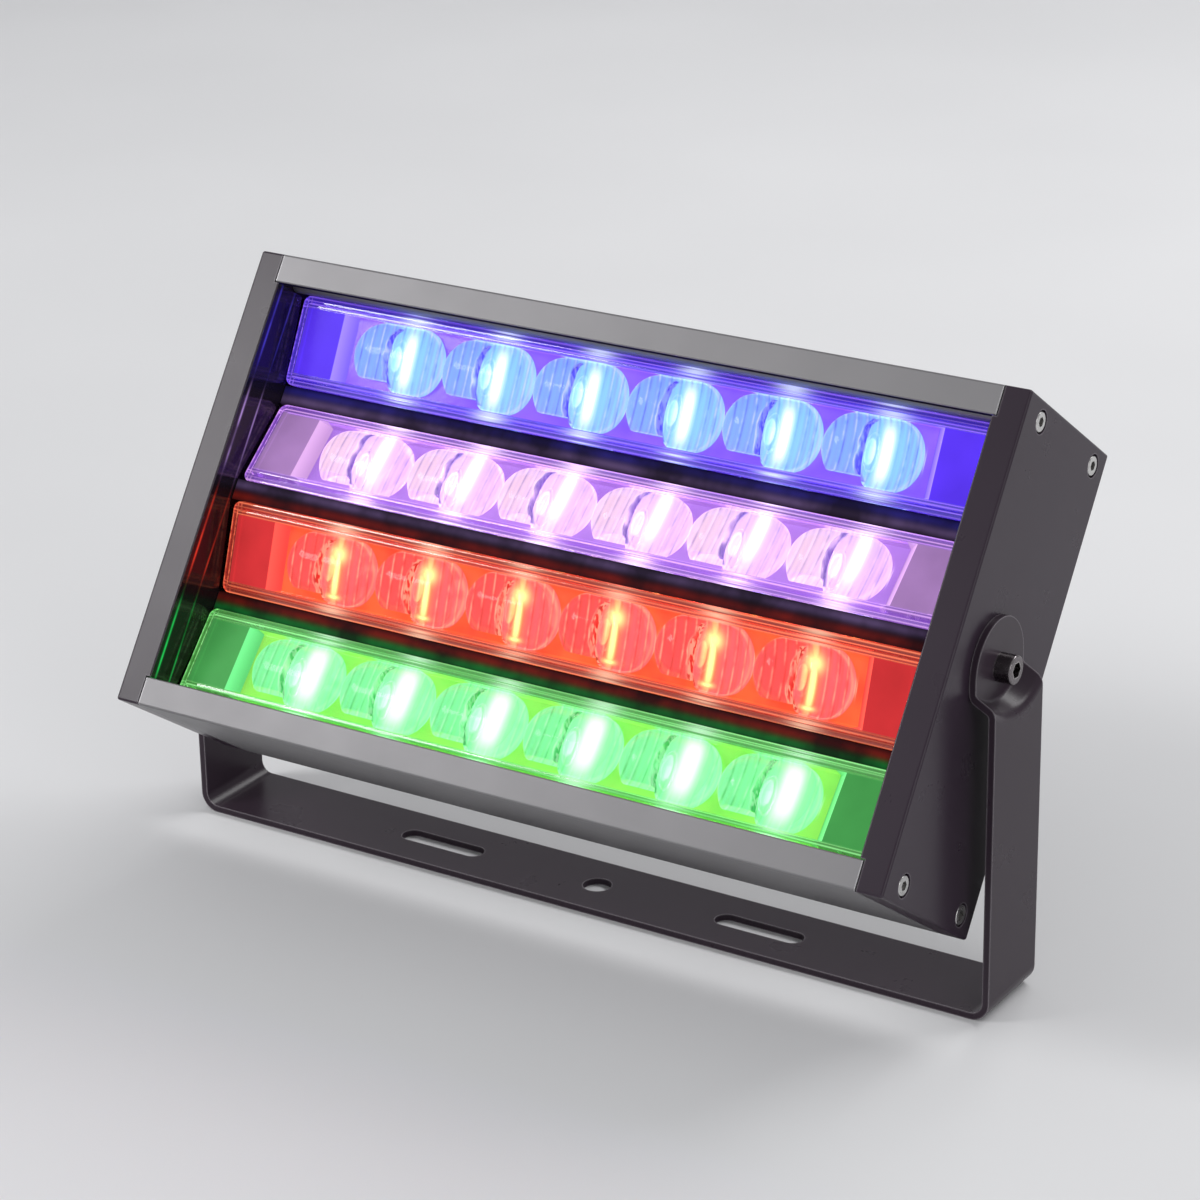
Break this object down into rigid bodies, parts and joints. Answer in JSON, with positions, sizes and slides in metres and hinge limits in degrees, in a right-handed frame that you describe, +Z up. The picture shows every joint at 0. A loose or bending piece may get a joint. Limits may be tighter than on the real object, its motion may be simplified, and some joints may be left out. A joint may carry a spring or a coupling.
{
  "type": "rgb landscape floodlight",
  "caption": "Floodlight with coloured LED light bars behind moulded lenses in an extruded housing, tilting in a U-shaped steel bracket.",
  "frame": {"origin": "centre of the round hole in the bracket's base, at the underside", "axes": "+X along the lamp to the right as seen from its front, +Y away from the lit face's side, +Z up out of the base"},
  "size_m": [0.33, 0.1565, 0.2087],
  "materials": {
    "bracket_steel": "satin powder coat",
    "housing_aluminium": "satin powder coat",
    "cap_aluminium": "satin powder coat",
    "screw_steel": "plain stainless",
    "bolt_steel": "blackened",
    "insert_brass": "plain",
    "washer_nylon": "natural",
    "seal_rubber": "matte",
    "gasket_silicone": "matte",
    "board_laminate": "white solder mask",
    "control_laminate": "green solder mask",
    "tray_aluminium": "mill finish",
    "driver_case": "plain anodised",
    "terminal_plastic": "natural",
    "spacer_nylon": "natural",
    "wire_pvc": "plain",
    "gland_nylon": "satin",
    "vent_plastic": "matte",
    "blue_lens": "clear moulding lit from behind",
    "blue_led": "lit",
    "white_lens": "clear moulding lit from behind",
    "white_led": "lit",
    "red_lens": "clear moulding lit from behind",
    "red_led": "lit",
    "green_lens": "clear moulding lit from behind",
    "green_led": "lit"
  },
  "bodies": {
    "bracket": {"bracket": "bracket_steel"},
    "head": {"housing": "housing_aluminium", "gear_tray": "tray_aluminium", "driver": "driver_case", "driver_screws": "screw_steel", "control_board": "control_laminate", "control_spacers": "spacer_nylon", "control_screws": "screw_steel", "terminal_block": "terminal_plastic", "terminal_screws": "screw_steel", "wiring": "wire_pvc", "gland_gasket": "seal_rubber", "gland_body": "gland_nylon", "gland_locknut": "gland_nylon", "gland_seal": "seal_rubber", "gland_dome_nut": "gland_nylon", "vent_plug": "vent_plastic", "vent_nut": "vent_plastic", "left_end_cap": "cap_aluminium", "left_cap_gasket": "gasket_silicone", "left_cap_screws": "screw_steel", "left_pivot_bolt": "bolt_steel", "left_friction_washer": "washer_nylon", "left_pivot_insert": "insert_brass", "right_end_cap": "cap_aluminium", "right_cap_gasket": "gasket_silicone", "right_cap_screws": "screw_steel", "right_pivot_bolt": "bolt_steel", "right_friction_washer": "washer_nylon", "right_pivot_insert": "insert_brass", "blue_lens_plate": "blue_lens", "blue_bar_gasket": "gasket_silicone", "blue_led_board": "board_laminate", "blue_leds": "blue_led", "blue_board_screws": "screw_steel", "white_lens_plate": "white_lens", "white_bar_gasket": "gasket_silicone", "white_led_board": "board_laminate", "white_leds": "white_led", "white_board_screws": "screw_steel", "red_lens_plate": "red_lens", "red_bar_gasket": "gasket_silicone", "red_led_board": "board_laminate", "red_leds": "red_led", "red_board_screws": "screw_steel", "green_lens_plate": "green_lens", "green_bar_gasket": "gasket_silicone", "green_led_board": "board_laminate", "green_leds": "green_led", "green_board_screws": "screw_steel"}
  },
  "joints": [
    {"name": "head_tilt", "type": "hinge", "parent": "bracket", "child": "head", "pos_m": [0, 0, 0.1214], "axis": [1, 0, 0], "range_deg": [-55.2, 124.8]}
  ]
}
